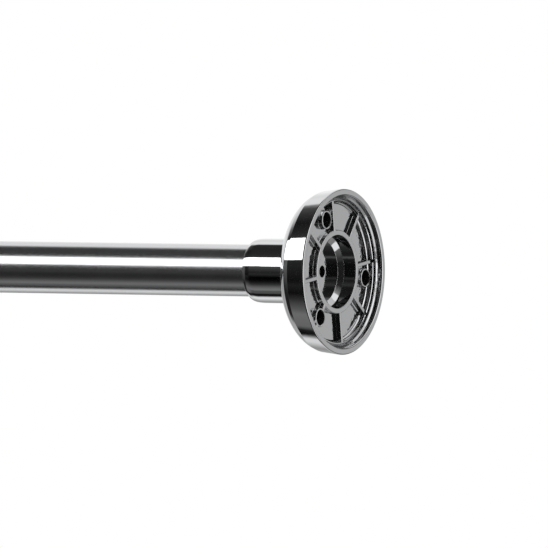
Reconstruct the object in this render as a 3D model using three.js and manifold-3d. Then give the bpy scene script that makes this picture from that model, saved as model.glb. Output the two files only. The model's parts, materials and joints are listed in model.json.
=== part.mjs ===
// A telescopic doorway pull up bar: two tubes and a screw between two wall flanges. Millimetres, +Z up.
// The origin is the centre of the right flange's wall face, and the bar runs along -X.
// Pieces are drawn as (radius, depth) and placed by depth, the distance from the right wall along -X.

import * as THREE from "three";
import { mergeVertices } from "three/addons/utils/BufferGeometryUtils.js";
import Module from "manifold-3d";

const wasm = await Module();
wasm.setup();

// Fits
const clearance = 0.3; // between neighbouring pieces
const endGap = 1.1; // left at each end of the telescopic travel
const roundSides = 36; // facets round a large turned piece
const smallSides = 12; // facets round a pin or a screw hole

// The whole bar
const wallToWall = 760; // as modelled, part way through the travel
const shortening = 140; // travel from there to the shortest length
const extension = 240; // travel from there to the longest length

// Tubes
const outerTubeRadius = 14;
const outerTubeWall = 1.2;
const innerTubeWall = 1.5;

// Flange plate
const rimRadius = 44.7;
const rimWidth = 3.7;
const rimBevel = 0.5;
const ledgeDepth = 2.6; // a narrow step in the rim's inner wall
const ledgeWidth = 1.2;
const sideTaper = 1.3;
const sideDepth = 10.6; // where the straight side ends in a crease
const domeSection = 15; // radius of the dome's curve
const domeStart = 18.5; // degrees that the curve has already turned at the crease
const footFillet = 5;
const webDepth = 4; // how far ribs, rings and bosses stay behind the wall face
const webHeight = 2.7; // how far they stand out of the pocket floor
const webRoot = 0.5; // how deep they are rooted in it

// Rings and ribs on the flange's back
const ridgeRadius = 38.9;
const ridgeWidth = 0.9;
const recessRadius = 19.65;
const recessDepth = 13.6;
const recessFillet = 2;
const hubRingWidth = 2.9;
const ribCount = 8;
const ribWidth = 2.1;
const ribPhase = 37.4; // degrees, clockwise from +Y as seen from the wall

// Screw bosses
const bossCount = 3;
const bossPhase = 7.4; // degrees, counted as ribPhase is
const bossCircleRadius = 30.4;
const bossRadius = 5.1;
const bossWall = 0.95;
const bossBoreDepth = 5.2; // from the top of the boss
const screwHoleRadius = 3.3;
const screwHeadRadius = 6.2;

// Collar and socket
const partitionWall = 3.1;
const centreHoleRadius = 3.05;
const collarLength = 54; // from the wall face
const collarWall = 3.15;
const collarDraft = 0.1;
const noseLength = 6; // the collar narrows in a curve before its end
const noseDrop = 0.8;
const collarFillet = 0.6;
const mouthChamfer = 0.5;

// Washers, sleeve and mouth ring
const thrustWasherThickness = 2;
const thrustWasherBore = 5;
const sleeveLipThickness = 1.2;
const sleeveLipWidth = 1.2;
const mouthRingWall = 1.1;
const mouthRingGrip = 14;
const mouthRingLip = 1.5;
const mouthRingRun = 3.4; // left between ring and sleeve at the shortest length

// Spindle and what holds it
const spindleRadius = 6; // half the thread's pitch diameter
const spindleTailRadius = 5;
const threadCrestRadius = 7;
const anchorInset = 1.7;
const anchorLength = 30;
const anchorPinRadius = 2;
const jamNutThickness = 8;
const jamNutAcrossFlats = 19;
const carrierLength = 40;
const nutLength = 17.4;
const nutWall = 2.5;
const rivetRadius = 2;
const rivetInset = 10;
const stopWasherThickness = 3;
const stopNutThickness = 8;
const stopNutAcrossFlats = 16;
const stopPinRadius = 1.5;
const stopPinLength = 16;
const stopPinSpace = 0.8;
const spindleNose = 2;
const cutOverrun = 1; // how far a cut runs past the face that it opens

// Left end plug
const endPlugLength = 26;
const endPlugBore = 4;
const endPinRadius = 2.5;

// Radii that follow
const outerTubeBore = outerTubeRadius - outerTubeWall;
const innerTubeRadius = outerTubeBore - clearance;
const innerTubeBore = innerTubeRadius - innerTubeWall;
const plugRadius = innerTubeBore - clearance;
const thrustWasherRadius = outerTubeRadius - clearance;
const socketRadius = outerTubeRadius + clearance;
const collarRadius = socketRadius + collarWall;
const sleeveBore = innerTubeRadius + clearance;
const tailBore = spindleTailRadius + clearance;
const shaftBore = spindleRadius + clearance;
const threadBore = threadCrestRadius + clearance;
const nutRadius = shaftBore + nutWall;
const rimInner = rimRadius - rimWidth;
const ledgeInner = rimInner - ledgeWidth;
const ridgeInner = ridgeRadius - ridgeWidth;
const hubRingRadius = recessRadius + hubRingWidth;
const sideRadius = rimRadius - sideTaper;
const domeRadius = sideRadius - domeSection * Math.cos(THREE.MathUtils.degToRad(domeStart));
const footRadius = collarRadius + footFillet;
const noseRadius = collarRadius - collarDraft;
const noseTipRadius = noseRadius - noseDrop;

// Depths that follow
const pocketDepth = webDepth + webHeight;
const domeDepth = sideDepth - domeSection * Math.sin(THREE.MathUtils.degToRad(domeStart));
const frontDepth = domeDepth + domeSection;
const socketFloor = recessDepth + partitionWall;
const washerDepth = socketFloor + clearance;
const tubeEndDepth = washerDepth + thrustWasherThickness + clearance;
const anchorDepth = tubeEndDepth + anchorInset;
const anchorEnd = anchorDepth + anchorLength;
const shaftDepth = anchorEnd + clearance;
const jamNutDepth = shaftDepth + clearance;
const innerTubeDepth = jamNutDepth + jamNutThickness + endGap + shortening;
const innerTubeEnd = wallToWall - tubeEndDepth;
const carrierDepth = innerTubeDepth + clearance;
const spindleStart = anchorDepth + clearance;
const carrierEnd = carrierDepth + carrierLength;
const nutDepth = carrierEnd - clearance - nutLength;
const stopWasherDepth = carrierEnd + extension + endGap;
const stopNutDepth = stopWasherDepth + stopWasherThickness + clearance;
const stopPinDepth = stopNutDepth + stopNutThickness + stopPinSpace + stopPinRadius;
const spindleEnd = stopPinDepth + stopPinRadius + spindleNose;
const sleeveDepth = wallToWall - collarLength - clearance - sleeveLipThickness;
const mouthRingEnd = sleeveDepth - shortening - mouthRingRun;
const outerTubeEnd = mouthRingEnd - mouthRingLip - clearance;
const anchorPinDepth = anchorDepth + anchorLength / 2;
const rivetDepth = carrierDepth + rivetInset;
const endPlugDepth = innerTubeEnd - clearance - endPlugLength;
const endPinDepth = endPlugDepth + endPlugLength / 2;
const crossPinReach = outerTubeRadius - clearance;

function point(radius, depth) {
  return new THREE.Vector2(radius, depth);
}

// Points on an arc round (radius, depth), with 0 degrees outward and 90 degrees away from the wall.
// A length of its own along the depth makes it part of an ellipse.
function arc(radius, depth, arcRadius, startAngle, endAngle, steps, arcLength = arcRadius) {
  const points = [];
  for (let step = 0; step <= steps; step++) {
    const angle = THREE.MathUtils.degToRad(startAngle + ((endAngle - startAngle) * step) / steps);
    points.push(point(radius + arcRadius * Math.cos(angle), depth + arcLength * Math.sin(angle)));
  }
  return points;
}

// Turns a closed profile round the bar's axis. It is run counter-clockwise, so the faces point out.
function turned(profile, sides = roundSides) {
  const outline = THREE.ShapeUtils.area(profile) > 0 ? profile : [...profile].reverse();
  return new THREE.LatheGeometry([...outline, outline[0]], sides);
}

function ring(innerRadius, outerRadius, length, sides = roundSides) {
  const profile = [
    point(innerRadius, 0),
    point(outerRadius, 0),
    point(outerRadius, length),
    point(innerRadius, length),
  ];
  return turned(profile, sides);
}

// A round bar along the axis, starting at the given depth. A second radius makes it a cone.
function rod(radius, depth, length, endRadius = radius, sides = smallSides) {
  return new THREE.CylinderGeometry(endRadius, radius, length, sides).translate(0, depth + length / 2, 0);
}

// A round bar across the axis, along Z.
function crossRod(radius, start, end) {
  return new THREE.CylinderGeometry(radius, radius, end - start, smallSides)
    .rotateX(Math.PI / 2)
    .translate(0, 0, (start + end) / 2);
}

// A closed solid for joining and cutting, without the flat triangles at a turned piece's poles.
function solid(geometry) {
  const bare = geometry.clone();
  bare.deleteAttribute("normal");
  bare.deleteAttribute("uv");
  const merged = mergeVertices(bare);
  const corners = merged.index.array;
  const triangles = [];
  for (let start = 0; start < corners.length; start += 3) {
    const [a, b, c] = corners.slice(start, start + 3);
    if (a !== b && b !== c && c !== a) triangles.push(a, b, c);
  }
  const vertProperties = new Float32Array(merged.attributes.position.array);
  const triVerts = new Uint32Array(triangles);
  return new wasm.Manifold(new wasm.Mesh({ numProp: 3, vertProperties, triVerts }));
}

function geometryOf(body) {
  const mesh = body.getMesh();
  const geometry = new THREE.BufferGeometry();
  geometry.setAttribute("position", new THREE.BufferAttribute(mesh.vertProperties, 3));
  geometry.setIndex(new THREE.BufferAttribute(mesh.triVerts, 1));
  geometry.computeVertexNormals();
  return geometry;
}

// One geometry with the added pieces joined to it and the cut pieces taken away.
function joinedAndCut(base, added, cuts) {
  let body = solid(base);
  for (const geometry of added) body = body.add(solid(geometry));
  for (const geometry of cuts) body = body.subtract(solid(geometry));
  return geometryOf(body);
}

// Copies of a geometry at equal angles round the axis.
function aroundAxis(geometry, count, phase) {
  const copies = [];
  for (let index = 0; index < count; index++) {
    const angle = THREE.MathUtils.degToRad(phase + (360 * index) / count);
    copies.push(geometry.clone().rotateY(angle));
  }
  return copies;
}

// The depth of the front, which is level near the collar and falls away over the dome.
function frontDepthAt(radius) {
  return domeDepth + Math.sqrt(domeSection ** 2 - Math.max(radius - domeRadius, 0) ** 2);
}

// The casting's section, from the centre hole out to the rim and back along the front to the socket.
function flangeProfile() {
  return [
    point(centreHoleRadius, recessDepth),
    ...arc(recessRadius - recessFillet, recessDepth - recessFillet, recessFillet, 90, 0, 2),
    point(recessRadius, webDepth),
    point(hubRingRadius, webDepth),
    point(hubRingRadius, pocketDepth),
    point(ridgeInner, pocketDepth),
    point(ridgeInner, webDepth),
    point(ridgeRadius, webDepth),
    point(ridgeRadius, pocketDepth),
    point(ledgeInner, pocketDepth),
    point(ledgeInner, ledgeDepth),
    point(rimInner, ledgeDepth),
    point(rimInner, 0),
    point(rimRadius - rimBevel, 0),
    point(rimRadius, rimBevel),
    ...arc(domeRadius, domeDepth, domeSection, domeStart, 90, 6),
    ...arc(footRadius, frontDepth + footFillet, footFillet, 270, 180, 3),
    ...arc(noseTipRadius, collarLength - collarFillet - noseLength, noseDrop, 0, 90, 3, noseLength),
    point(noseTipRadius - collarFillet, collarLength),
    point(socketRadius + mouthChamfer, collarLength),
    point(socketRadius, collarLength - mouthChamfer),
    point(socketRadius, socketFloor),
    point(centreHoleRadius, socketFloor),
  ];
}

function flangeRib() {
  const start = recessRadius + hubRingWidth / 2;
  const end = ridgeRadius - ridgeWidth / 2;
  const height = webHeight + webRoot;
  const rib = new THREE.BoxGeometry(end - start, height, ribWidth);
  return rib.translate((start + end) / 2, webDepth + height / 2, 0);
}

// The bore in a boss, the screw's way through to the front, and the sunk seat for its head.
function screwCut() {
  const boreRadius = bossRadius - bossWall;
  const boreEnd = webDepth + bossBoreDepth;
  const seatDepth = frontDepthAt(bossCircleRadius + screwHeadRadius);
  const cut = turned(
    [
      point(0, webDepth - cutOverrun),
      point(boreRadius, webDepth - cutOverrun),
      point(boreRadius, boreEnd),
      point(screwHoleRadius, boreEnd),
      point(screwHoleRadius, seatDepth - (screwHeadRadius - screwHoleRadius)),
      point(screwHeadRadius, seatDepth),
      point(screwHeadRadius, frontDepth + cutOverrun),
      point(0, frontDepth + cutOverrun),
    ],
    smallSides,
  );
  return cut.translate(bossCircleRadius, 0, 0);
}

// The flange and its collar are one casting, and its screws go in from the front.
function flangeGeometry() {
  const boss = rod(bossRadius, webDepth, webHeight + webRoot).translate(bossCircleRadius, 0, 0);
  const ribs = aroundAxis(flangeRib(), ribCount, ribPhase);
  const bosses = aroundAxis(boss, bossCount, bossPhase);
  const cuts = aroundAxis(screwCut(), bossCount, bossPhase);
  return joinedAndCut(turned(flangeProfile()), [...ribs, ...bosses], cuts);
}

// Cuts a hole for a cross pin, with running room, at a depth in the piece's own frame.
function crossDrilled(geometry, pinRadius, reach, depth) {
  const radius = pinRadius + clearance;
  const hole = crossRod(radius, -reach - cutOverrun, reach + cutOverrun).translate(0, depth, 0);
  return joinedAndCut(geometry, [], [hole]);
}

function outerTubeGeometry() {
  const tube = ring(outerTubeBore, outerTubeRadius, outerTubeEnd - tubeEndDepth);
  return crossDrilled(tube, anchorPinRadius, outerTubeRadius, anchorPinDepth - tubeEndDepth);
}

function innerTubeGeometry() {
  const tube = ring(innerTubeBore, innerTubeRadius, innerTubeEnd - innerTubeDepth);
  const riveted = crossDrilled(tube, rivetRadius, innerTubeRadius, rivetDepth - innerTubeDepth);
  return crossDrilled(riveted, endPinRadius, innerTubeRadius, endPinDepth - innerTubeDepth);
}

function mouthRingGeometry() {
  const bore = outerTubeRadius + clearance;
  const outside = bore + mouthRingWall;
  const lipDepth = mouthRingGrip + clearance;
  const length = lipDepth + mouthRingLip;
  const edge = mouthRingWall / 2;
  return turned([
    point(bore, 0),
    point(outside - edge, 0),
    point(outside, edge),
    point(outside, length - edge),
    point(outside - edge, length),
    point(outerTubeBore, length),
    point(outerTubeBore, lipDepth),
    point(bore, lipDepth),
  ]);
}

// Fills the room between the inner tube and the left socket, with a lip outside the collar's end.
function sleeveGeometry() {
  const lipRadius = outerTubeRadius + sleeveLipWidth;
  const length = innerTubeEnd - clearance - sleeveDepth;
  const sleeve = turned([
    point(sleeveBore, 0),
    point(lipRadius, 0),
    point(lipRadius, sleeveLipThickness),
    point(outerTubeRadius, sleeveLipThickness),
    point(outerTubeRadius, length),
    point(sleeveBore, length),
  ]);
  return crossDrilled(sleeve, endPinRadius, outerTubeRadius, endPinDepth - sleeveDepth);
}

// The spindle as a plain shaft at its thread's pitch diameter, with a turned-down tail at each end.
function spindleGeometry() {
  const length = spindleEnd - spindleStart;
  const shaftStart = shaftDepth - spindleStart;
  const shaftEnd = stopWasherDepth - clearance - spindleStart;
  const profile = [
    point(0, 0),
    point(spindleTailRadius, 0),
    point(spindleTailRadius, shaftStart),
    point(spindleRadius, shaftStart),
    point(spindleRadius, shaftEnd),
    point(spindleTailRadius, shaftEnd),
    point(spindleTailRadius, length),
    point(0, length),
  ];
  const shaft = new THREE.LatheGeometry(profile, roundSides);
  const drilled = crossDrilled(shaft, anchorPinRadius, spindleTailRadius, anchorPinDepth - spindleStart);
  return crossDrilled(drilled, stopPinRadius, spindleTailRadius, stopPinDepth - spindleStart);
}

function anchorGeometry() {
  const anchor = ring(tailBore, outerTubeBore - clearance, anchorLength);
  return crossDrilled(anchor, anchorPinRadius, outerTubeRadius, anchorPinDepth - anchorDepth);
}

function hexNutGeometry(acrossFlats, bore, thickness) {
  const hexagon = rod(acrossFlats / Math.sqrt(3), 0, thickness, undefined, 6);
  return joinedAndCut(hexagon, [], [rod(bore, -cutOverrun, thickness + 2 * cutOverrun)]);
}

// The plug in the inner tube that holds the spindle's nut and lets the spindle pass.
function carrierGeometry() {
  const pocketStart = nutDepth - clearance - carrierDepth;
  const pocketRadius = nutRadius + clearance;
  const carrier = turned([
    point(threadBore, 0),
    point(plugRadius, 0),
    point(plugRadius, carrierLength),
    point(pocketRadius, carrierLength),
    point(pocketRadius, pocketStart),
    point(threadBore, pocketStart),
  ]);
  return crossDrilled(carrier, rivetRadius, plugRadius, rivetDepth - carrierDepth);
}

function endPlugGeometry() {
  const plug = ring(endPlugBore, plugRadius, endPlugLength);
  return crossDrilled(plug, endPinRadius, plugRadius, endPinDepth - endPlugDepth);
}

const finishes = {
  castChrome: { color: 0xc9ccd0, roughness: 0.05, metalness: 1 },
  tubeChrome: { color: 0xc4c7cb, roughness: 0.08, metalness: 1 },
  zincSteel: { color: 0x9a9d9f, roughness: 0.35, metalness: 1 },
  brass: { color: 0xb8924a, roughness: 0.3, metalness: 1 },
  blackNylon: { color: 0x1b1b1c, roughness: 0.45, metalness: 0 },
  whiteNylon: { color: 0xd9d8d2, roughness: 0.4, metalness: 0 },
};

function piece(name, geometry, finish, depth) {
  const mesh = new THREE.Mesh(geometry, new THREE.MeshStandardMaterial(finish));
  mesh.name = name;
  mesh.position.y = depth;
  return mesh;
}

function rightEnd() {
  const end = new THREE.Group();
  end.add(piece("right_flange", flangeGeometry(), finishes.castChrome, 0));
  const washer = ring(thrustWasherBore, thrustWasherRadius, thrustWasherThickness);
  end.add(piece("right_thrust_washer", washer, finishes.whiteNylon, washerDepth));
  return end;
}

// The tube that the hands turn, with the spindle fixed in it.
function outerAssembly() {
  const jamNut = hexNutGeometry(jamNutAcrossFlats, shaftBore, jamNutThickness);
  const stopWasher = ring(tailBore, plugRadius, stopWasherThickness);
  const stopNut = hexNutGeometry(stopNutAcrossFlats, tailBore, stopNutThickness);
  const anchorPin = crossRod(anchorPinRadius, -crossPinReach, crossPinReach);
  const stopPin = crossRod(stopPinRadius, -stopPinLength / 2, stopPinLength / 2);
  const mouthRingDepth = outerTubeEnd - mouthRingGrip;
  const assembly = new THREE.Group();
  assembly.add(piece("outer_tube", outerTubeGeometry(), finishes.tubeChrome, tubeEndDepth));
  assembly.add(piece("mouth_ring", mouthRingGeometry(), finishes.blackNylon, mouthRingDepth));
  assembly.add(piece("spindle", spindleGeometry(), finishes.zincSteel, spindleStart));
  assembly.add(piece("spindle_anchor", anchorGeometry(), finishes.zincSteel, anchorDepth));
  assembly.add(piece("anchor_pin", anchorPin, finishes.zincSteel, anchorPinDepth));
  assembly.add(piece("spindle_jam_nut", jamNut, finishes.zincSteel, jamNutDepth));
  assembly.add(piece("stop_washer", stopWasher, finishes.whiteNylon, stopWasherDepth));
  assembly.add(piece("stop_nut", stopNut, finishes.zincSteel, stopNutDepth));
  assembly.add(piece("stop_pin", stopPin, finishes.zincSteel, stopPinDepth));
  return assembly;
}

// The tube that slides, with the nut that the spindle drives.
function innerAssembly() {
  const nut = ring(shaftBore, nutRadius, nutLength);
  const rivetStart = threadBore + clearance;
  const rivetEnd = innerTubeRadius - clearance;
  const upperRivet = crossRod(rivetRadius, rivetStart, rivetEnd);
  const lowerRivet = crossRod(rivetRadius, -rivetEnd, -rivetStart);
  const endPin = crossRod(endPinRadius, -crossPinReach, crossPinReach);
  const assembly = new THREE.Group();
  assembly.add(piece("inner_tube", innerTubeGeometry(), finishes.tubeChrome, innerTubeDepth));
  assembly.add(piece("nut_carrier", carrierGeometry(), finishes.zincSteel, carrierDepth));
  assembly.add(piece("spindle_nut", nut, finishes.brass, nutDepth));
  assembly.add(piece("carrier_rivet_upper", upperRivet, finishes.zincSteel, rivetDepth));
  assembly.add(piece("carrier_rivet_lower", lowerRivet, finishes.zincSteel, rivetDepth));
  assembly.add(piece("left_end_plug", endPlugGeometry(), finishes.blackNylon, endPlugDepth));
  assembly.add(piece("end_plug_pin", endPin, finishes.zincSteel, endPinDepth));
  assembly.add(piece("left_adapter_sleeve", sleeveGeometry(), finishes.blackNylon, sleeveDepth));
  return assembly;
}

// The same casting and washer as at the right end, turned round to face the other wall.
function leftEnd() {
  const end = new THREE.Group();
  const washer = ring(thrustWasherBore, thrustWasherRadius, thrustWasherThickness);
  end.add(piece("left_flange", flangeGeometry(), finishes.castChrome, 0));
  end.add(piece("left_thrust_washer", washer, finishes.whiteNylon, washerDepth));
  end.rotation.z = Math.PI;
  end.position.y = wallToWall;
  return end;
}

// Pieces are built with depth along +Y, and the whole bar is turned to run along -X.
const bar = new THREE.Group();
bar.add(rightEnd(), outerAssembly(), innerAssembly(), leftEnd());
bar.rotation.z = Math.PI / 2;

export default bar;
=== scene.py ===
import json
import math

import bmesh
import bpy
from mathutils import Matrix, Vector


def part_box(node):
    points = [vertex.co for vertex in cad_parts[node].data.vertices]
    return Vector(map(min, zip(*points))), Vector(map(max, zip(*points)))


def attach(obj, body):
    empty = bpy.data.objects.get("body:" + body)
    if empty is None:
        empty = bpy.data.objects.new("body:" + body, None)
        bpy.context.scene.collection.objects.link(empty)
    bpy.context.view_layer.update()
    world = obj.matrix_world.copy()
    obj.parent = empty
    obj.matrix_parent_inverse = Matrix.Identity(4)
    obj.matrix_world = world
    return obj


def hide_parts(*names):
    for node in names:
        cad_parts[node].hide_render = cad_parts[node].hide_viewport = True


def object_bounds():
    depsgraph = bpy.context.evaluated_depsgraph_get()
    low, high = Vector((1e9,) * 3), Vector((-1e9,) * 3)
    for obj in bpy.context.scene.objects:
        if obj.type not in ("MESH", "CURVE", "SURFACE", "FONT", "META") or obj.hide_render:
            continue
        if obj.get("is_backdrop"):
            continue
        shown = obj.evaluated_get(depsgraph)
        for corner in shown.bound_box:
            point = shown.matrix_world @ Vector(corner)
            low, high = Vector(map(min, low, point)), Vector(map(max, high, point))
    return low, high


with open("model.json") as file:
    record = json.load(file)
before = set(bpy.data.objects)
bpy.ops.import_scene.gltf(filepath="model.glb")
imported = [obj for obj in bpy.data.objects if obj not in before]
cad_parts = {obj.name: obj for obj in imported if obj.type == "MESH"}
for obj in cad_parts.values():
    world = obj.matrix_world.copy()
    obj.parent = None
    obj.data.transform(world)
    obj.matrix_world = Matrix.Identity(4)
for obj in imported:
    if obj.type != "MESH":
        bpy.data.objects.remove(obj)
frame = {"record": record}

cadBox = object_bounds()
mm = 0.001
behaviour = frame["record"]["behaviour"]
bodyOf = {node: body for body, nodes in behaviour["bodies"].items() for node in nodes}
slotOf = {part["node"]: part["material_slot"] for part in frame["record"]["subparts"]}
print("frame loaded:", len(bodyOf), "nodes")


def directionTo(azimuth, height):  # degrees round from -Y towards +X, and degrees above level
    around, up = math.radians(azimuth), math.radians(height)
    return Vector((math.sin(around) * math.cos(up), -math.cos(around) * math.cos(up), math.sin(up)))


# a long lens that looks at the right flange from behind its wall face
camera = {
    "azimuth": 30.1,
    "elevation": 1.45,
    "distance": 9.0,
    "width": 0.2950,  # metres across the picture at the bar
    "aim": (-0.0436, 0.0, -0.0017),
    "sensor": 36.0,
    "reach": 100.0,  # metres that it can see
}


def makeCamera(at):
    back = directionTo(at["azimuth"], at["elevation"])
    data = bpy.data.cameras.new("camera")
    data.sensor_width = at["sensor"]
    data.lens = at["sensor"] * at["distance"] / at["width"]
    data.clip_end = at["reach"]
    shown = bpy.data.objects.new("camera", data)
    bpy.context.scene.collection.objects.link(shown)
    turn = (-back).to_track_quat("-Z", "Y").to_matrix().to_4x4()
    shown.matrix_world = Matrix.Translation(Vector(at["aim"]) + back * at["distance"]) @ turn
    bpy.context.scene.camera = shown


makeCamera(camera)
print("camera set")


# small helpers for node trees of every kind
def mathNode(tree, operation, *inputs):
    node = tree.nodes.new("ShaderNodeMath")
    node.operation = operation
    for socket, value in zip(node.inputs, inputs):
        if isinstance(value, (int, float)):
            socket.default_value = value
        else:
            tree.links.new(value, socket)
    return node.outputs[0]


def mapped(tree, value, source, target=(0, 1)):
    node = tree.nodes.new("ShaderNodeMapRange")
    node.inputs["From Min"].default_value, node.inputs["From Max"].default_value = source
    node.inputs["To Min"].default_value, node.inputs["To Max"].default_value = target
    tree.links.new(value, node.inputs["Value"])
    return node.outputs[0]


def mixColours(tree, factor, first, second):
    mix = tree.nodes.new("ShaderNodeMix")
    mix.data_type = "RGBA"
    tree.links.new(factor, mix.inputs["Factor"])
    for socket, value in ((mix.inputs[6], first), (mix.inputs[7], second)):
        if isinstance(value, tuple):
            socket.default_value = value
        else:
            tree.links.new(value, socket)
    return mix.outputs[2]


def mixShaders(tree, factor, first, second):
    mix = tree.nodes.new("ShaderNodeMixShader")
    for value, socket in zip((factor, first, second), mix.inputs):
        tree.links.new(value, socket)
    return mix.outputs[0]


# white surround, and soft cards and dark flags that only polished metal mirrors
studio = {
    "strength": 1.52,  # chrome gives back about two thirds, so a white card looks white in it
    "fill": 0.9,  # plain light for everything that isn't a mirror
    # degrees round the bar, 0 on the camera's side and 90 overhead, with the tone seen there
    "barSide": [
        (-180, 0.60), (-146, 0.52), (-133, 0.66), (-117, 0.86), (-109, 0.78), (-103, 0.12), (-92, 0.04),
        (-87, 0.29), (-77, 0.31), (-72, 0.44), (-63, 0.38), (-50, 0.19), (-42, 0.10), (-35, 0.03), (-23, 0.0),
        (-16, 0.10), (-11, 0.15), (-5, 0.12), (2, 0.17), (15, 0.26), (20, 0.27), (49, 0.22), (54, 0.19),
        (60, 0.15), (85, 0.13), (102, 0.14), (108, 0.17), (111, 0.72), (117, 0.87), (140, 0.80), (160, 0.86),
        (180, 0.80),
    ],
    "rimSide": [
        (-180, 0.66), (-154, 0.64), (-144, 0.52), (-134, 0.76), (-126, 0.82), (-117, 0.76), (-112, 0.45),
        (-108, 0.08), (-104, 0.05), (-97, 0.12), (-89, 0.38), (-67, 0.41), (-59, 0.33), (-42, 0.16),
        (-33, 0.05), (-20, 0.11), (-13, 0.06), (5, 0.11), (14, 0.13), (55, 0.17), (64, 0.13), (81, 0.09),
        (98, 0.19), (113, 0.28), (116, 0.34), (120, 0.82), (135, 0.86), (145, 0.82), (180, 0.82),
    ],
    "domeSide": [
        (-180, 0.70), (-170, 0.66), (-158, 0.55), (-148, 0.56), (-136, 0.64), (-122, 0.60), (-114, 0.35),
        (-107, 0.12), (-60, 0.12), (-35, 0.22), (0, 0.30), (25, 0.36), (50, 0.28), (62, 0.14), (92, 0.16),
        (105, 0.36), (120, 0.66), (133, 0.78), (150, 0.81), (180, 0.84),
    ],
    "wallSide": [
        (-180, 0.63), (-167, 0.62), (-162, 0.22), (-150, 0.22), (-146, 0.57), (-135, 0.50), (-110, 0.38),
        (-85, 0.20), (-60, 0.12), (-51, 0.14), (-45, 0.34), (-39, 0.12), (-20, 0.05), (16, 0.05), (23, 0.20),
        (30, 0.10), (44, 0.22), (52, 0.12), (60, 0.10), (88, 0.14), (105, 0.45), (125, 0.72), (144, 0.74),
        (148, 0.28), (162, 0.22), (167, 0.63), (180, 0.63),
    ],
    # where one band gives way to the next, by how far the mirrored view looks along the bar
    "bandEnds": {"rimSide": (-0.56, -0.62), "domeSide": (-0.72, -0.76), "wallSide": (-0.2, 0.2)},
    # a long soft box above the camera
    "softBox": {
        "low": (-0.165, 0.13), "high": (-0.53, 0.36),  # height over slope times distance behind the bar
        "back": (0.05, 0.0), "end": (-0.36, -0.44),  # where it fades in, from behind the bar and along it
        "edge": 0.012, "tone": 1.35,
    },
    "cards": [
        {"azimuth": 81, "height": 0, "reach": (0.945, 0.96), "tone": 0.10},  # a dark flag by the wall face
        {"azimuth": 108, "height": -21, "reach": (0.97, 0.985), "tone": 0.80},
        {"azimuth": 108, "height": 21, "reach": (0.97, 0.985), "tone": 0.90},
        {"azimuth": 119, "height": 0, "reach": (0.955, 0.975), "tone": 1.05},  # beyond the wall face
        {"azimuth": 98, "height": 0, "reach": (0.989, 0.994), "tone": 0.95},
        {"azimuth": 112, "height": -42, "reach": (0.983, 0.989), "tone": 0.87},
        {"azimuth": 112, "height": 44, "reach": (0.983, 0.989), "tone": 0.87},
    ],
}


def grey(tone):  # a tone as it is seen on screen, turned into an amount of light
    light = tone / 12.92 if tone < 0.04045 else ((tone + 0.055) / 1.055) ** 2.4
    return (light, light, light, 1)


def toneRamp(tree, stops, position):
    node = tree.nodes.new("ShaderNodeValToRGB")
    made = node.color_ramp.elements
    for number, (degrees, tone) in enumerate(stops):
        place = (degrees + 180) / 360
        stop = made[number] if number < 2 else made.new(place)  # a new ramp has two stops already
        stop.position = place
        stop.color = grey(tone)
    tree.links.new(position, node.inputs["Fac"])
    return node.outputs["Color"]


def boxShare(tree, box, x, y, z):  # how much of a mirrored view the soft box fills
    edge = box["edge"]
    low, high = (
        mathNode(tree, "SUBTRACT", z, mathNode(tree, "MULTIPLY_ADD", y, *box[side]))
        for side in ("low", "high")
    )
    share = 1.0
    for value, span in ((low, (-edge, edge)), (high, (edge, -edge)), (y, box["back"]), (x, box["end"])):
        share = mathNode(tree, "MULTIPLY", mapped(tree, value, span), share)
    return share


def background(tree, strength):
    node = tree.nodes.new("ShaderNodeBackground")
    node.inputs["Color"].default_value = (1, 1, 1, 1)
    node.inputs["Strength"].default_value = strength
    return node


def makeWorld(room):
    world = bpy.data.worlds.new("studio")
    bpy.context.scene.world = world
    world.use_nodes = True
    tree = world.node_tree
    tree.nodes.clear()
    direction = tree.nodes.new("ShaderNodeTexCoord").outputs["Generated"]
    split = tree.nodes.new("ShaderNodeSeparateXYZ")
    tree.links.new(direction, split.inputs[0])
    x, y, z = split.outputs
    angle = mathNode(tree, "ARCTAN2", z, mathNode(tree, "MULTIPLY", y, -1.0))
    place = mathNode(tree, "MULTIPLY_ADD", angle, 0.5 / math.pi, 0.5)

    def withBand(mirrored, band):
        share = mapped(tree, x, room["bandEnds"][band])
        return mixColours(tree, share, mirrored, toneRamp(tree, room[band], place))

    mirrored = toneRamp(tree, room["barSide"], place)
    mirrored = withBand(withBand(mirrored, "rimSide"), "domeSide")
    box = room["softBox"]
    mirrored = mixColours(tree, boxShare(tree, box, x, y, z), mirrored, grey(box["tone"]))
    mirrored = withBand(mirrored, "wallSide")
    for card in room["cards"]:
        facing = tree.nodes.new("ShaderNodeVectorMath")
        facing.operation = "DOT_PRODUCT"
        facing.inputs[1].default_value = directionTo(card["azimuth"], card["height"])
        tree.links.new(direction, facing.inputs[0])
        share = mapped(tree, facing.outputs["Value"], card["reach"])
        mirrored = mixColours(tree, share, mirrored, grey(card["tone"]))
    cards, fill, white = (background(tree, strength) for strength in (room["strength"], room["fill"], 1.0))
    tree.links.new(mirrored, cards.inputs["Color"])
    ray = tree.nodes.new("ShaderNodeLightPath").outputs
    plain = mathNode(tree, "MAXIMUM", ray["Is Camera Ray"], ray["Is Transmission Ray"])
    seen = mixShaders(tree, ray["Is Glossy Ray"], fill.outputs[0], cards.outputs[0])
    shown = mixShaders(tree, plain, seen, white.outputs[0])
    tree.links.new(shown, tree.nodes.new("ShaderNodeOutputWorld").inputs["Surface"])


def meshObject(name, bm):
    mesh = bpy.data.meshes.new(name)
    bm.to_mesh(mesh)
    bm.free()
    made = bpy.data.objects.new(name, mesh)
    bpy.context.scene.collection.objects.link(made)
    return made


floor = {
    "drop": 0.32, "size": 3.0, "light": 0.93, "roughness": 0.9,
    "fade": (1.4, 0.4),  # metres from its middle where it is clear, and where it is fullest
    "most": 0.6,
}


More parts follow.
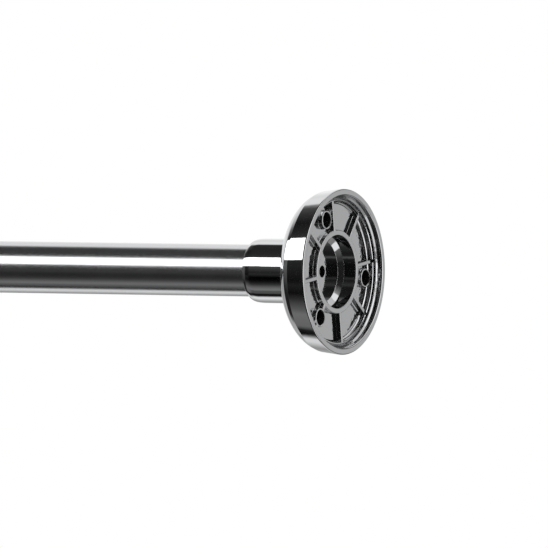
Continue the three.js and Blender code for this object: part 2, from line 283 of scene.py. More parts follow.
def makeFloor(of):
    low = cadBox[0].z - of["drop"]
    middle = (cadBox[0] + cadBox[1]) / 2
    half = of["size"] / 2
    bm = bmesh.new()
    corners = [(-half, -half), (half, -half), (half, half), (-half, half)]
    bm.faces.new([bm.verts.new((middle.x + x, middle.y + y, low)) for x, y in corners])
    slab = meshObject("floor", bm)
    material = bpy.data.materials.new("floor")
    material.use_nodes = True
    tree = material.node_tree
    shader = tree.nodes["Principled BSDF"]
    shader.inputs["Base Color"].default_value = (of["light"], of["light"], of["light"], 1)
    shader.inputs["Roughness"].default_value = of["roughness"]
    away = tree.nodes.new("ShaderNodeVectorMath")
    away.operation = "DISTANCE"
    away.inputs[1].default_value = (middle.x, middle.y, low)
    tree.links.new(tree.nodes.new("ShaderNodeTexCoord").outputs["Object"], away.inputs[0])
    share = mapped(tree, away.outputs["Value"], of["fade"], (0, of["most"]))
    clear = tree.nodes.new("ShaderNodeBsdfTransparent").outputs[0]
    shown = mixShaders(tree, share, clear, shader.outputs[0])
    tree.links.new(shown, tree.nodes["Material Output"].inputs["Surface"])
    slab.data.materials.append(material)
    slab.visible_glossy = False  # the metal mirrors the studio, not the floor
    slab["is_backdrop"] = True


makeWorld(studio)
makeFloor(floor)
bpy.context.scene.view_settings.view_transform = "Standard"
print("studio made")


finishes = {
    "cast_chrome": {
        "colour": (0.655, 0.66, 0.668), "roughness": (0.03, 0.06), "waves": 5e-5, "peel": 3e-6,
        "asCast": {  # painted shade: its dark colour is painted into the screw bores and centre hole as shade; its roughness and bumps are the casting's own skin, which stays where the buffing wheel doesn't reach
            "colour": (0.030, 0.030, 0.032), "roughness": 0.55,
            "grain": 2.5e-5, "flow": 1.6e-3, "mostFlow": 0.1,
        },
    },
    "tube_chrome": {"colour": (0.65, 0.655, 0.665), "roughness": (0.20, 0.23), "waves": 1e-5, "lines": 4e-6},
    "zinc_steel": {"colour": (0.60, 0.62, 0.62), "roughness": (0.28, 0.42), "waves": 1e-5, "peel": 1e-5},
    "brass": {"colour": (0.72, 0.55, 0.27), "roughness": (0.22, 0.34), "waves": 1e-5, "peel": 6e-6},
    "black_nylon": {"colour": (0.020, 0.020, 0.021), "roughness": (0.40, 0.52), "waves": 1e-5, "peel": 2e-5},
    "white_nylon": {"colour": (0.78, 0.78, 0.74), "roughness": (0.36, 0.48), "waves": 1e-5, "peel": 1e-5},
}
# each pattern's features per metre, and its layers of finer detail
patterns = {
    "waves": (85.0, 2.0), "peel": (750.0, 2.0), "lines": (520.0, 2.0),
    "cloud": (30.0, 4.0), "grain": (600.0, 3.0), "flow": (230.0, 3.0),
}
patternUse = {
    "cloudSpan": (0.3, 0.7),  # the part of the cloud's range that a finish's roughness is spread over
    "paintedShadeSpan": (0.5, 1.0),  # shares between which the painted shade's dark colour comes in
    "lineStretch": 0.01,  # how dense the drawing marks are along a tube, against round it
}


def noise(tree, place, pattern):
    node = tree.nodes.new("ShaderNodeTexNoise")
    node.inputs["Scale"].default_value, node.inputs["Detail"].default_value = patterns[pattern]
    tree.links.new(place, node.inputs["Vector"])
    return node.outputs["Fac"]


def bumpOver(tree, height, distance, under=None):
    node = tree.nodes.new("ShaderNodeBump")
    node.inputs["Distance"].default_value = distance
    tree.links.new(height, node.inputs["Height"])
    if under is not None:
        tree.links.new(under, node.inputs["Normal"])
    return node.outputs["Normal"]


def addPaintedShadeAndSkin(tree, shader, look, place, roughness, normal):  # paints shade as dark colour where the share is high, adds the skin's roughness and bumps, and returns the new roughness and normal
    shadeAndSkin = look["asCast"]
    mark = tree.nodes.new("ShaderNodeAttribute")
    mark.attribute_name = "asCast"
    share = mark.outputs["Fac"]
    shows = mapped(tree, share, patternUse["paintedShadeSpan"])
    # the dark colour mixed in here is painted shade in the holes
    colour = mixColours(tree, shows, (*look["colour"], 1), (*shadeAndSkin["colour"], 1))
    tree.links.new(colour, shader.inputs["Base Color"])
    roughness = mathNode(tree, "MAXIMUM", roughness, mathNode(tree, "MULTIPLY", share, shadeAndSkin["roughness"]))
    grain = mathNode(tree, "MULTIPLY", noise(tree, place, "grain"), share)
    normal = bumpOver(tree, grain, shadeAndSkin["grain"], normal)
    flowing = mathNode(tree, "MINIMUM", share, shadeAndSkin["mostFlow"])
    flow = mathNode(tree, "MULTIPLY", noise(tree, place, "flow"), flowing)
    return roughness, bumpOver(tree, flow, shadeAndSkin["flow"], normal)


def makeFinish(name, look, metal):
    material = bpy.data.materials.new(name)
    material.use_nodes = True
    tree = material.node_tree
    shader = tree.nodes["Principled BSDF"]
    shader.inputs["Base Color"].default_value = (*look["colour"], 1)
    shader.inputs["Metallic"].default_value = 1.0 if metal else 0.0
    place = tree.nodes.new("ShaderNodeTexCoord").outputs["Object"]
    roughness = mapped(tree, noise(tree, place, "cloud"), patternUse["cloudSpan"], look["roughness"])
    normal = bumpOver(tree, noise(tree, place, "waves"), look["waves"])
    if "asCast" in look:
        roughness, normal = addPaintedShadeAndSkin(tree, shader, look, place, roughness, normal)
    tree.links.new(roughness, shader.inputs["Roughness"])
    if "peel" in look:
        normal = bumpOver(tree, noise(tree, place, "peel"), look["peel"], normal)
    if "lines" in look:  # drawing marks along the tube
        stretch = tree.nodes.new("ShaderNodeMapping")
        stretch.inputs["Scale"].default_value = (patternUse["lineStretch"], 1, 1)
        tree.links.new(place, stretch.inputs["Vector"])
        normal = bumpOver(tree, noise(tree, stretch.outputs[0], "lines"), look["lines"], normal)
    tree.links.new(normal, shader.inputs["Normal"])
    return material


materials = {name: makeFinish(name, look, "nylon" not in name) for name, look in finishes.items()}
print("finishes made:", len(materials))


# turned pieces; their outlines are (radius, depth, rounding) in mm, with depth along -X
fineness = {
    "sides": 192, "edgeSteps": 5,  # of a turned piece, and of each rounded edge
    "nothing": 1e-3,  # mm that count as none
}


def rounded(corners, steps):
    points = []
    for number, (radius, depth, fillet) in enumerate(corners):
        here = Vector((radius, depth))
        if fillet == 0:
            points.append(here)
            continue
        before = (Vector(corners[number - 1][:2]) - here).normalized()
        after = (Vector(corners[(number + 1) % len(corners)][:2]) - here).normalized()
        half = before.angle(after) / 2
        centre = here + (before + after).normalized() * (fillet / math.sin(half))
        start = here + before * (fillet / math.tan(half)) - centre
        sweep = start.angle_signed(here + after * (fillet / math.tan(half)) - centre)
        for step in range(steps + 1):
            points.append(centre + Matrix.Rotation(-sweep * step / steps, 2) @ start)
    return points


def ringOf(bm, depth, radii):  # one ring of points, in the order that a right-hand thread climbs
    turns = [-2 * math.pi * side / len(radii) for side in range(len(radii))]
    return [
        bm.verts.new((-depth * mm, radius * mm * math.cos(turn), radius * mm * math.sin(turn)))
        for radius, turn in zip(radii, turns)
    ]


def turned(name, corners, sides=fineness["sides"], steps=fineness["edgeSteps"], thread=None):
    bm = bmesh.new()
    rings = []
    for radius, depth in rounded(corners, steps):
        rings.append(ringOf(bm, depth, [radius] * (sides if radius > fineness["nothing"] else 1)))
    return closedPiece(name, bm, rings, thread)


def closedPiece(name, bm, rings, thread=None):  # skins the rings in turn, the last one to the first
    for number, ring in enumerate(rings):
        before = rings[number - 1]
        if thread and takesThread(before, ring, thread):
            windThread(bm, *sorted((before, ring), key=lambda ends: -ends[0].co.x), thread)
        else:
            joinRings(bm, before, ring)
    bmesh.ops.recalc_face_normals(bm, faces=bm.faces)
    return meshObject(name, bm)


def takesThread(first, second, thread):  # both rings at the thread's root, and over two turns apart
    away = max(abs(ring[0].co.yz.length / mm - thread["base"]) for ring in (first, second))
    return away < fineness["nothing"] and abs(second[0].co.x - first[0].co.x) / mm > 2 * thread["lead"]


def joinRings(bm, first, second):
    sides = max(len(first), len(second))
    for side in range(sides):
        following = (side + 1) % sides
        quad = [first[side % len(first)], first[following % len(first)]]
        quad += [second[following % len(second)], second[side % len(second)]]
        corners = list(dict.fromkeys(quad))
        if len(corners) > 2:
            bm.faces.new(corners)


def windThread(bm, before, after, thread):  # a helical sheet between two rings, level with them at its ends
    lead, sides, steps = thread["lead"], len(before), len(thread["steps"])
    room = lead / 4  # left free at both ends
    low, high = -before[0].co.x / mm + room, -after[0].co.x / mm - room
    first = thread["start"] + lead * math.ceil((low - thread["start"]) / lead)
    turns = int((high - first) / lead) - 1
    last = first + lead * turns
    grid = []
    for row in range(steps * (turns + 1) + 1):
        offset, radius = thread["steps"][row % steps]
        line = []
        for side in range(sides if row <= steps * turns else 1):
            depth = first + lead * (row // steps + side / sides) + offset
            height = min(1, max(0, min(depth - first - lead, last - depth) / (lead * thread["runOut"])))
            reach = (thread["base"] + (radius - thread["base"]) * height) * mm
            turn = -2 * math.pi * side / sides
            line.append(bm.verts.new((-depth * mm, reach * math.cos(turn), reach * math.sin(turn))))
        grid.append(line)

    def at(row, side):
        return grid[row][side] if side < sides else grid[row + steps][0]

    top = steps * turns
    for side in range(sides):
        for row in range(top):
            bm.faces.new([at(row, side), at(row, side + 1), at(row + 1, side + 1), at(row + 1, side)])
    for side in range(sides):
        following = (side + 1) % sides
        lowEdge = [at(0, 0)] + [grid[row][0] for row in range(1, steps)] if side == sides - 1 else []
        highEdge = [grid[row][0] for row in range(top + steps, top, -1)] if side == 0 else []
        bm.faces.new([before[side], before[following], *lowEdge, at(0, side + 1), at(0, side)])
        bm.faces.new([at(top, side), at(top, side + 1), after[following], after[side], *highEdge])


def throughModifier(piece, modifier):  # the modifier's result as a plain mesh, and the modifier gone
    graph = bpy.context.evaluated_depsgraph_get()
    result = bpy.data.meshes.new_from_object(piece.evaluated_get(graph))
    piece.modifiers.remove(modifier)
    old = piece.data
    piece.data = result
    result.name = piece.name
    bpy.data.meshes.remove(old)


def cutAway(piece, tool):
    cut = piece.modifiers.new("cut", "BOOLEAN")
    cut.operation = "DIFFERENCE"
    cut.solver = "EXACT"
    cut.object = tool
    throughModifier(piece, cut)
    bpy.data.objects.remove(tool)


shading = {"sharpAngle": 32.0, "weight": 80}  # degrees where an edge turns sharp, and large faces' pull


def smoothed(piece, sharpAngle=shading["sharpAngle"]):  # rounded edges shade smooth and flats stay flat
    mesh = piece.data
    mesh.polygons.foreach_set("use_smooth", [True] * len(mesh.polygons))
    mesh.set_sharp_from_angle(angle=math.radians(sharpAngle))
    weighted = piece.modifiers.new("weighted", "WEIGHTED_NORMAL")
    weighted.keep_sharp = True
    weighted.weight = shading["weight"]
    throughModifier(piece, weighted)


def placed(piece, node):  # stands for a CAD node, rides with its body and takes its slot's finish
    material = materials[slotOf[node]]
    piece.data.materials.clear()
    piece.data.materials.append(material)
    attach(piece, bodyOf[node])
    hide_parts(node)


def moved(piece, offset):
    piece.data.transform(Matrix.Translation(offset))
    return piece


# Geometry Nodes trees for the castings
def newTree(name, inputs):
    tree = bpy.data.node_groups.new(name, "GeometryNodeTree")
    tree.interface.new_socket("Geometry", in_out="INPUT", socket_type="NodeSocketGeometry")
    for label, kind in inputs:
        tree.interface.new_socket(label, in_out="INPUT", socket_type=kind)
    tree.interface.new_socket("Geometry", in_out="OUTPUT", socket_type="NodeSocketGeometry")
    return tree, tree.nodes.new("NodeGroupInput").outputs


def endTree(tree, geometry, material):
    realize = tree.nodes.new("GeometryNodeRealizeInstances")
    dress = tree.nodes.new("GeometryNodeSetMaterial")
    tree.links.new(geometry, realize.inputs[0])
    tree.links.new(realize.outputs[0], dress.inputs["Geometry"])
    tree.links.new(material, dress.inputs["Material"])
    tree.links.new(dress.outputs[0], tree.nodes.new("NodeGroupOutput").inputs[0])


def runTree(piece, tree, values):
    modifier = piece.modifiers.new(tree.name, "NODES")
    modifier.node_group = tree
    for socket in tree.interface.items_tree:
        if socket.in_out == "INPUT" and socket.name in values:
            modifier[socket.identifier] = values[socket.name]
    piece.update_tag()
    throughModifier(piece, modifier)


def copiesRound(tree, template, count, phase):  # copies of a template at equal angles round the X axis
    info = tree.nodes.new("GeometryNodeObjectInfo")
    tree.links.new(template, info.inputs["Object"])
    spots = tree.nodes.new("GeometryNodePoints")
    tree.links.new(count, spots.inputs["Count"])
    number = tree.nodes.new("GeometryNodeInputIndex").outputs[0]
    share = mathNode(tree, "DIVIDE", number, count)
    angle = mathNode(tree, "MULTIPLY_ADD", share, -2 * math.pi, phase)
    turn = tree.nodes.new("ShaderNodeCombineXYZ")
    tree.links.new(angle, turn.inputs["X"])
    copies = tree.nodes.new("GeometryNodeInstanceOnPoints")
    tree.links.new(spots.outputs[0], copies.inputs["Points"])
    tree.links.new(info.outputs["Geometry"], copies.inputs["Instance"])
    tree.links.new(turn.outputs[0], copies.inputs["Rotation"])
    realize = tree.nodes.new("GeometryNodeRealizeInstances")
    tree.links.new(copies.outputs[0], realize.inputs[0])
    return realize.outputs[0]


def booleanNode(tree, operation, first, others):
    node = tree.nodes.new("GeometryNodeMeshBoolean")
    node.operation = operation
    node.solver = "EXACT"
    if operation == "DIFFERENCE":
        tree.links.new(first, node.inputs["Mesh 1"])
    else:
        others = [first, *others]
    for other in others:
        tree.links.new(other, node.inputs["Mesh 2"])
    return node.outputs["Mesh"]


def castingTree():  # ribs and bosses joined to the turned casting, then the screw holes cut
    inputs = [
        ("Rib", "NodeSocketObject"), ("Rib count", "NodeSocketInt"), ("Rib angle", "NodeSocketFloat"),
        ("Boss", "NodeSocketObject"), ("Screw cut", "NodeSocketObject"), ("Boss count", "NodeSocketInt"),
        ("Boss angle", "NodeSocketFloat"), ("Material", "NodeSocketMaterial"),
    ]
    tree, given = newTree("casting", inputs)
    ribs = copiesRound(tree, given["Rib"], given["Rib count"], given["Rib angle"])
    bosses = copiesRound(tree, given["Boss"], given["Boss count"], given["Boss angle"])
    cuts = copiesRound(tree, given["Screw cut"], given["Boss count"], given["Boss angle"])
    joined = booleanNode(tree, "UNION", given["Geometry"], [ribs, bosses])
    endTree(tree, booleanNode(tree, "DIFFERENCE", joined, [cuts]), given["Material"])
    return tree


# the wall flange and its collar, one casting; depths start at the wall
flange = {
    "sides": 256,
    "rimRadius": 44.7, "rimInner": 41.0, "rimEdge": 0.9, "rimOuterEdge": 0.7,
    "sideRadius": 43.4, "sideDepth": 10.6, "creaseFillet": 1.0,
    "domeSection": 15.0, "domeStart": 18.5, "domeSteps": 24,  # its curve, from the crease to its level top
    "domeLeftOut": 3,  # the curve's first points, where the crease is rounded
    "ledgeDepth": 2.6, "ledgeInner": 39.8, "ledgeSlope": 0.6, "ledgeFillet": 0.25, "ledgeEdge": 0.2,
    "webDepth": 4.0, "webEdge": 0.35,
    "pocketDepth": 6.7, "pocketFillet": 2.0, "rootFillet": 0.4,
    "ridgeInner": 38.05, "ridgeOuter": 38.85, "ridgeSlope": 0.22, "ridgeEdges": (0.15, 0.2),
    "hubOuter": 22.55, "hubEdge": 0.5,
    "recessRadius": 19.65, "recessDepth": 13.6, "recessChamfer": (3.0, 2.1), "recessFillet": 0.4,
    "centreHole": 3.05, "centreEdges": (0.25, 0.2),  # roundings at the recess and at the socket
    "socketDepth": 16.7, "socketRadius": 14.3, "socketFillet": 0.5, "socketEdge": 0.4,
    "collarRadius": 17.45, "collarLength": 54.0, "collarFillet": 0.6, "footFillet": 5.0,
    "noseRadius": 17.35, "noseLength": 6.0, "noseDrop": 0.8, "noseTurn": 75, "noseSteps": 8,
    "ribCount": 8, "ribAngle": 37.4, "ribWidth": 2.1,
    "sink": 0.02, "buried": 0.5,  # keeps ribs and bosses off the casting's own faces, and roots them in it
    "bossCount": 3, "bossAngle": 7.4, "bossCircle": 30.4, "bossRadius": 5.1, "bossSides": 96,
    "bossBore": 4.15, "boreDepth": 9.2, "boreChamfer": 0.25, "boreFillet": 0.3,
    "screwHole": 3.3, "screwEdge": 0.2, "screwHead": 6.2, "seatEdge": 0.3,
    "cutPast": (0.5, 1.0),  # how far the screw cut stands out at the back and at the front
}


def domeCentre(of):
    start = math.radians(of["domeStart"])
    radius = of["sideRadius"] - of["domeSection"] * math.cos(start)
    return radius, of["sideDepth"] - of["domeSection"] * math.sin(start)


def frontDepth(of, radius):  # level near the collar, and falling away over the dome
    middle, depth = domeCentre(of)
    return depth + math.sqrt(of["domeSection"] ** 2 - max(radius - middle, 0) ** 2)


def ellipseArc(radius, depth, width, length, start, end, steps):
    angles = [math.radians(start + (end - start) * step / steps) for step in range(steps + 1)]
    return [(radius + width * math.cos(a), depth + length * math.sin(a), 0) for a in angles]


def flangeOutline(of):
    web, floor, edge, root = of["webDepth"], of["pocketDepth"], of["webEdge"], of["rootFillet"]
    section, top = of["domeSection"], frontDepth(of, 0)
    dome = ellipseArc(*domeCentre(of), section, section, of["domeStart"], 90, of["domeSteps"])
    noseEnd = of["noseRadius"] - of["noseDrop"]
    noseStart = of["collarLength"] - of["collarFillet"] - of["noseLength"]
    drop, length = of["noseDrop"], of["noseLength"]
    nose = ellipseArc(noseEnd, noseStart, drop, length, 0, of["noseTurn"], of["noseSteps"])
    chamferAcross, chamferDown = of["recessChamfer"]
    return [
        (of["centreHole"], of["recessDepth"], of["centreEdges"][0]),
        (of["recessRadius"] - chamferAcross, of["recessDepth"], of["recessFillet"]),
        (of["recessRadius"], of["recessDepth"] - chamferDown, of["recessFillet"]),
        (of["recessRadius"], web, edge),
        (of["hubOuter"], web, of["hubEdge"]),
        (of["hubOuter"], floor, root),
        (of["ridgeInner"], floor, of["pocketFillet"]),
        (of["ridgeInner"], web + of["ridgeSlope"], of["ridgeEdges"][0]),
        (of["ridgeOuter"], web, of["ridgeEdges"][1]),
        (of["ridgeOuter"], floor, root),
        (of["ledgeInner"], floor, root),
        (of["ledgeInner"], of["ledgeDepth"] + of["ledgeSlope"], of["ledgeEdge"]),
        (of["rimInner"], of["ledgeDepth"], of["ledgeFillet"]),
        (of["rimInner"], 0, of["rimEdge"]),
        (of["rimRadius"], 0, of["rimOuterEdge"]),
        (of["sideRadius"], of["sideDepth"], of["creaseFillet"]),
        *dome[of["domeLeftOut"]:],
        (of["collarRadius"], top, of["footFillet"]),
        *nose,
        (noseEnd, of["collarLength"], of["collarFillet"]),
        (of["socketRadius"], of["collarLength"], of["socketEdge"]),
        (of["socketRadius"], of["socketDepth"], of["socketFillet"]),
        (of["centreHole"], of["socketDepth"], of["centreEdges"][1]),
    ]


def flangeRib(of):  # its section, flared at the root, drawn along the radius
    half, flare = of["ribWidth"] / 2, 2 * of["rootFillet"]
    top, floor = of["webDepth"] + of["sink"], of["pocketDepth"] + of["sink"]
    end = floor + of["buried"]
    section = rounded([
        (-half - flare, end, 0), (-half - flare, floor, 0), (-half, floor, of["rootFillet"]),
        (-half, top, of["webEdge"]), (half, top, of["webEdge"]),
        (half, floor, of["rootFillet"]), (half + flare, floor, 0), (half + flare, end, 0),
    ], fineness["edgeSteps"])
    inner = (of["hubOuter"] + of["recessRadius"]) / 2
    outer = (of["ridgeInner"] + of["ridgeOuter"]) / 2
    bm = bmesh.new()
    ends = [[bm.verts.new((-d * mm, r * mm, z * mm)) for z, d in section] for r in (inner, outer)]
    for number in range(len(section)):
        bm.faces.new([ends[0][number - 1], ends[0][number], ends[1][number], ends[1][number - 1]])
    bm.faces.new(ends[0])
    bm.faces.new(ends[1][::-1])
    bmesh.ops.recalc_face_normals(bm, faces=bm.faces)
    return meshObject("ribTemplate", bm)


def flangeBoss(of):
    web, floor, root = of["webDepth"], of["pocketDepth"] + of["sink"], of["rootFillet"]
    radius, foot, end = of["bossRadius"], of["bossRadius"] + 2 * root, floor + of["buried"]
    boss = turned("bossTemplate", [
        (0, web, 0), (radius, web, of["webEdge"]), (radius, floor, root),
        (foot, floor, 0), (foot, end, 0), (0, end, 0),
    ], of["bossSides"])
    return moved(boss, (0, of["bossCircle"] * mm, 0))


def screwCut(of):  # a bore from the back, the screw's hole, and a sink for its head at the front
    web, end, chamfer = of["webDepth"], of["boreDepth"], of["boreChamfer"]
    head, hole, bore = of["screwHead"], of["screwHole"], of["bossBore"]
    seat = frontDepth(of, of["bossCircle"] + head)
    back, front = web - of["cutPast"][0], frontDepth(of, 0) + of["cutPast"][1]
    cut = turned("screwCutTemplate", [
        (0, back, 0), (bore + chamfer + web - back, back, 0), (bore, web + chamfer, of["boreFillet"]),
        (bore, end, of["boreFillet"]), (hole, end, of["screwEdge"]),
        (hole, seat - head + hole, of["seatEdge"]), (head, seat, 0), (head, front, 0), (0, front, 0),
    ], of["bossSides"])
    return moved(cut, (0, of["bossCircle"] * mm, 0))


shadeAndSkinShares = {
    "holes": 1.0, "socket": 0.5, "recess": 0.03, "back": 0.10,  # shares of painted shade and casting skin: the holes' full share paints them dark as shade, the lower shares left by the buffing wheel only roughen
    "wallSlack": 0.02, "recessSlack": 0.1, "rimSlack": 0.05,  # mm that a face may lie beyond each wall
    "boreStart": 0.2, "socketStart": 1.0,  # mm beyond the bosses' tops and beyond the recess's floor
}


def markPaintedShadeAndSkin(piece, of, shadeAndSkin):  # how much painted shade and casting skin each face gets
    share = piece.data.attributes.new("asCast", "FLOAT", "FACE")
    count, circle = of["bossCount"], of["bossCircle"]
    turns = [math.radians(-of["bossAngle"] - 360 * number / count) for number in range(count)]
    axes = [(circle * math.cos(turn), circle * math.sin(turn)) for turn in turns]
    walls = ("bossBore", "centreHole", "socketRadius")
    bore, hole, socket = (of[wall] + shadeAndSkin["wallSlack"] for wall in walls)
    recess, rim = of["recessRadius"] + shadeAndSkin["recessSlack"], of["rimInner"] + shadeAndSkin["rimSlack"]
    for face in piece.data.polygons:
        depth, y, z = -face.center.x / mm, face.center.y / mm, face.center.z / mm
        radius = math.hypot(y, z)
        fromScrew = min(math.hypot(y - axis[0], z - axis[1]) for axis in axes)
        onBack = of["rimEdge"] < depth < of["recessDepth"] + shadeAndSkin["recessSlack"]
        # screw bores and centre hole take the full share and are painted dark as shade
        if radius < hole or (fromScrew < bore and depth > of["webDepth"] + shadeAndSkin["boreStart"]):
            share.data[face.index].value = shadeAndSkin["holes"]
        elif radius < socket and depth > of["recessDepth"] + shadeAndSkin["socketStart"]:
            share.data[face.index].value = shadeAndSkin["socket"]
        elif onBack and radius < rim:
            share.data[face.index].value = shadeAndSkin["recess" if radius < recess else "back"]


def makeFlanges(of):
    casting = turned("right_flange_casting", flangeOutline(of), of["sides"])
    templates = [flangeRib(of), flangeBoss(of), screwCut(of)]
    runTree(casting, castingTree(), {
        "Rib": templates[0], "Rib count": of["ribCount"], "Rib angle": -math.radians(of["ribAngle"]),
        "Boss": templates[1], "Screw cut": templates[2], "Boss count": of["bossCount"],
        "Boss angle": -math.radians(of["bossAngle"]), "Material": materials["cast_chrome"],
    })
    for template in templates:
        bpy.data.objects.remove(template)
    smoothed(casting)
    markPaintedShadeAndSkin(casting, of, shadeAndSkinShares)
    other = bpy.data.objects.new("left_flange_casting", casting.data.copy())
    bpy.context.scene.collection.objects.link(other)
    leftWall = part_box("left_flange")[0].x
    other.data.transform(Matrix.Translation((leftWall, 0, 0)) @ Matrix.Rotation(math.pi, 4, "Z"))
    placed(casting, "right_flange")
    placed(other, "left_flange")
    print("flanges cast:", len(casting.data.polygons), "faces each")


makeFlanges(flange)


# cross pins, and the holes drilled through for them
crossPins = {
    "clearance": 0.3, "past": 1.0,  # the drill is this much wider, and stands out this much
    "sides": 64, "twist": 2.0,  # degrees, which keep a drill's edges off the seams of what it cuts
    "ends": {  # rounding at a pin's ends
        "anchor_pin": 0.4, "stop_pin": 0.3, "end_plug_pin": 0.5,
        "carrier_rivet_upper": 0.25, "carrier_rivet_lower": 0.25,
    },
}


def nodeSpan(node):  # a turned node's radius and its two depths, in mm
    low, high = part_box(node)
    return (high.z - low.z) / 2 / mm, -high.x / mm, -low.x / mm


def pinSpan(node):  # radius, lowest and highest Z, and depth, in mm
    low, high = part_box(node)
    return (high.x - low.x) / 2 / mm, low.z / mm, high.z / mm, -(low.x + high.x) / 2 / mm


def crossBar(name, radius, low, high, depth, edge=0):  # a round bar along Z, at a depth
    outline = [(0, low, 0), (radius, low, edge), (radius, high, edge), (0, high, 0)]
    bar = turned(name, outline, crossPins["sides"])
    twist = Matrix.Rotation(math.radians(crossPins["twist"]), 4, "X")
    bar.data.transform(Matrix.Rotation(math.pi / 2, 4, "Y") @ twist)
    return moved(bar, (-depth * mm, 0, 0))


def crossDrilled(piece, pins):
    reach = max(corner[2] for corner in piece.bound_box) / mm + crossPins["past"]
    for pin in pins:
        radius, low, high, depth = pinSpan(pin)
        cutAway(piece, crossBar("drill", radius + crossPins["clearance"], -reach, reach, depth))
    return piece


for node, edge in crossPins["ends"].items():
    radius, low, high, depth = pinSpan(node)
    pin = crossBar(node + "_drawn", radius, low, high, depth, edge)
    smoothed(pin)
    placed(pin, node)
print("cross pins made")


def tubeOutline(bore, radius, start, end, edge):
    return [(bore, start, edge), (radius, start, edge), (radius, end, edge), (bore, end, edge)]


tubes = {
    "outer_tube": {"wall": 1.2, "edge": 0.35, "sides": 256, "pins": ["anchor_pin"]},
    "inner_tube": {"wall": 1.5, "edge": 0.4, "sides": 256, "pins": ["carrier_rivet_upper", "end_plug_pin"]},
}
for node, tube in tubes.items():
    radius, start, end = nodeSpan(node)
    outline = tubeOutline(radius - tube["wall"], radius, start, end, tube["edge"])
    piece = turned(node + "_drawn", outline, tube["sides"])
    smoothed(crossDrilled(piece, tube["pins"]))
    placed(piece, node)
print("tubes drawn")


# plain rings and plugs, each with its bore and the pin that goes through it
plainRings = {
    "right_thrust_washer": {"bore": 5.0, "edge": 0.4, "pins": []},
    "left_thrust_washer": {"bore": 5.0, "edge": 0.4, "pins": []},
    "stop_washer": {"bore": 5.3, "edge": 0.4, "pins": []},
    "spindle_anchor": {"bore": 5.3, "edge": 0.6, "pins": ["anchor_pin"]},
    "left_end_plug": {"bore": 4.0, "edge": 0.8, "pins": ["end_plug_pin"]},
}
for node, ring in plainRings.items():
    radius, start, end = nodeSpan(node)
    piece = turned(node + "_turned", tubeOutline(ring["bore"], radius, start, end, ring["edge"]))
    smoothed(crossDrilled(piece, ring["pins"]))
    placed(piece, node)


# mouth ring on the outer tube's end, and the sleeve that fills the left collar
mouthRing = {"grip": 14.3, "wall": 1.1, "lipBore": 12.8, "edge": 0.5, "lipEdge": 0.35, "stepEdge": 0.2}
sleeve = {"bore": 12.8, "radius": 14.0, "lip": 1.2, "edge": 0.35, "stepEdge": 0.15}


def makeMouthRing(of):
    radius, start, end = nodeSpan("mouth_ring")
    bore, edge, lip, step = radius - of["wall"], of["edge"], of["lipEdge"], start + of["grip"]
    ring = turned("mouth_ring_moulded", [
        (bore, start, lip), (radius, start, edge), (radius, end, edge), (of["lipBore"], end, lip),
        (of["lipBore"], step, of["stepEdge"]), (bore, step, of["stepEdge"]),
    ])
    smoothed(ring)
    placed(ring, "mouth_ring")


def makeSleeve(of):
    radius, start, end = nodeSpan("left_adapter_sleeve")
    edge, lipEnd = of["edge"], start + of["lip"]
    piece = turned("left_adapter_sleeve_moulded", [
        (of["bore"], start, edge), (radius, start, edge), (radius, lipEnd, edge),
        (of["radius"], lipEnd, of["stepEdge"]), (of["radius"], end, edge), (of["bore"], end, edge),
    ])
    smoothed(crossDrilled(piece, ["end_plug_pin"]))
    placed(piece, "left_adapter_sleeve")


makeMouthRing(mouthRing)
makeSleeve(sleeve)
print("rings, plugs and sleeve made")


# the spindle and its nuts, with a right-hand trapezoidal thread of one start
spindle = {
    "crest": 7.0, "root": 4.75, "lead": 4.0, "flankAngle": 15.0, "crestShare": 0.366,
    "runOut": 1.0,  # turns over which the thread fades at each end
    "tailRadius": 5.0, "tailEdge": 0.6, "shoulder": 0.3, "shoulderEdge": 0.2,
    "radialRoom": 0.3, "flankRoom": 0.12,  # between the spindle's thread and a nut's
    "tapTurns": 3,  # a tap's full turns beyond each end of its nut
    "sides": 64, "edgeSteps": 4,
}


def threadSteps(of, start, room=0.0, flankRoom=0.0):  # a turn's section: root flat, flank, crest flat, flank
    slope = math.tan(math.radians(of["flankAngle"]))
    flank = (of["crest"] - of["root"]) * slope
    rootFlat = of["lead"] * (1 - of["crestShare"]) - 2 * flank
    shift = room * slope - flankRoom
    low, high = of["root"] + room, of["crest"] + room
    steps = [
        (-shift, low), (rootFlat + shift, low),
        (rootFlat + flank + shift, high), (of["lead"] - flank - shift, high),
    ]
    return {"steps": steps, "base": low, "lead": of["lead"], "start": start, "runOut": of["runOut"]}


def tapped(piece, node, of, start):  # the spindle's thread, with room round it, cut out of a nut
    low, high = nodeSpan(node)[1:]
    overrun = of["lead"] * (of["tapTurns"] + of["runOut"])
    thread = threadSteps(of, start, of["radialRoom"], of["flankRoom"])
    root = thread["base"]
    tap = turned("tap", [
        (0, low - overrun, 0), (root, low - overrun, 0), (root, high + overrun, 0), (0, high + overrun, 0),
    ], of["sides"], of["edgeSteps"], thread)
    cutAway(piece, tap)
    return piece


def makeSpindle(of, pins):
    start, end = nodeSpan("spindle")[1:]
    shaftStart = nodeSpan("spindle_anchor")[2] + of["shoulder"]
    shaftEnd = nodeSpan("stop_washer")[1] - of["shoulder"]
    tail, edge, root = of["tailRadius"], of["tailEdge"], of["root"]
    corners = [
        (0, start, 0), (tail, start, edge), (tail, shaftStart - of["shoulder"], of["shoulderEdge"]),
        (root, shaftStart, 0), (root, shaftEnd, 0),
        (tail, shaftEnd + of["shoulder"], of["shoulderEdge"]), (tail, end, edge), (0, end, 0),
    ]
    piece = turned("spindle_turned", corners, of["sides"], of["edgeSteps"], threadSteps(of, shaftStart))
    smoothed(crossDrilled(piece, pins))
    placed(piece, "spindle")
    return shaftStart


threadStart = makeSpindle(spindle, ["anchor_pin", "stop_pin"])

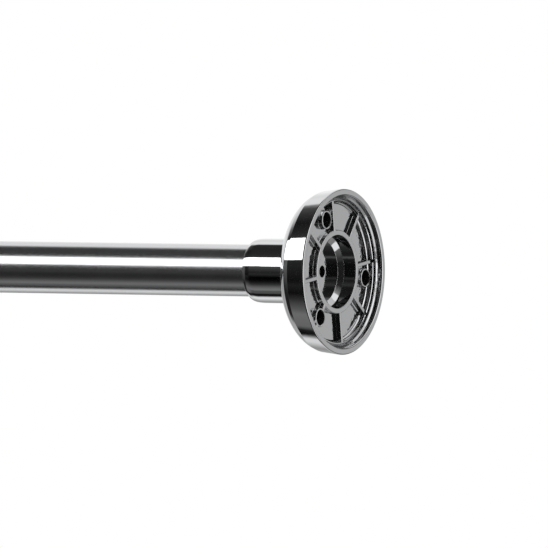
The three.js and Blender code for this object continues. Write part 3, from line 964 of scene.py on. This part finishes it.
nutCarrier = {
    "bore": 7.3, "pocket": 9.1, "pocketDepth": 18.0,
    "edge": 0.6, "mouthEdge": 0.4, "pocketFillet": 0.3,
}
spindleNut = {"edge": 0.5, "throatEdge": 0.1, "sides": 96}
nutThroat = {"radius": 7.9, "bore": 4.5, "angle": 30.0}  # the countersink at both ends of a thread
hexNuts = {
    "spindle_jam_nut": {"acrossFlats": 19.0, "threaded": True},
    "stop_nut": {"acrossFlats": 16.0, "threaded": False},
}
hexShape = {
    "chamfer": 30.0, "faceShare": 0.95,  # turned on both faces
    "plainRoom": 0.3, "plainChamfer": 0.4,  # round the spindle's tail, in a nut without thread
    "sharpAngle": 25.0, "sides": 96,
}


def makeCarrier(of):
    radius, start, end = nodeSpan("nut_carrier")
    floor, edge = end - of["pocketDepth"], of["edge"]
    carrier = turned("nut_carrier_turned", [
        (of["bore"], start, of["mouthEdge"]), (radius, start, edge), (radius, end, edge),
        (of["pocket"], end, of["mouthEdge"]), (of["pocket"], floor, of["pocketFillet"]),
        (of["bore"], floor, of["pocketFillet"]),
    ])
    smoothed(crossDrilled(carrier, ["carrier_rivet_upper"]))
    placed(carrier, "nut_carrier")


def throatDepth(throat):
    return (throat["radius"] - throat["bore"]) * math.tan(math.radians(throat["angle"]))


def makeSpindleNut(of, throat):
    radius, start, end = nodeSpan("spindle_nut")
    depth, edge, mouth = throatDepth(throat), of["edge"], of["throatEdge"]
    nut = turned("spindle_nut_turned", [
        (throat["bore"], start + depth, 0), (throat["radius"], start, mouth), (radius, start, edge),
        (radius, end, edge), (throat["radius"], end, mouth), (throat["bore"], end - depth, 0),
    ], of["sides"])
    smoothed(tapped(nut, "spindle_nut", spindle, threadStart))
    placed(nut, "spindle_nut")


def makeHexNut(node, of, shape, throat):
    start, end = nodeSpan(node)[1:]
    flat, sides = of["acrossFlats"] / 2, shape["sides"]
    face, mouth = flat * shape["faceShare"], throat["radius"]
    bore, depth = throat["bore"], throatDepth(throat)
    if not of["threaded"]:
        bore, depth = spindle["tailRadius"] + shape["plainRoom"], shape["plainChamfer"]
        mouth = bore + depth
    sixth = math.pi / 3
    hexagon = [flat / math.cos((2 * math.pi * side / sides) % sixth - sixth / 2) for side in range(sides)]
    bm = bmesh.new()
    fronts = [(bore, start + depth), (mouth, start), (face, start)]
    backs = [(face, end), (mouth, end), (bore, end - depth)]
    rings = [ringOf(bm, place, [radius] * sides) for radius, place in fronts + backs]
    flats = [ringOf(bm, start, hexagon), ringOf(bm, end, hexagon)]
    for side, radius in enumerate(hexagon):
        chamfer = (radius - face) * math.tan(math.radians(shape["chamfer"])) * mm
        flats[0][side].co.x -= chamfer
        flats[1][side].co.x += chamfer
    nut = closedPiece(node + "_turned", bm, rings[:3] + flats + rings[3:])
    if of["threaded"]:
        tapped(nut, node, spindle, threadStart)
    smoothed(nut, shape["sharpAngle"])
    placed(nut, node)


makeCarrier(nutCarrier)
makeSpindleNut(spindleNut, nutThroat)
for node, nut in hexNuts.items():
    makeHexNut(node, nut, hexShape, nutThroat)
print("spindle and nuts made")

low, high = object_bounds()
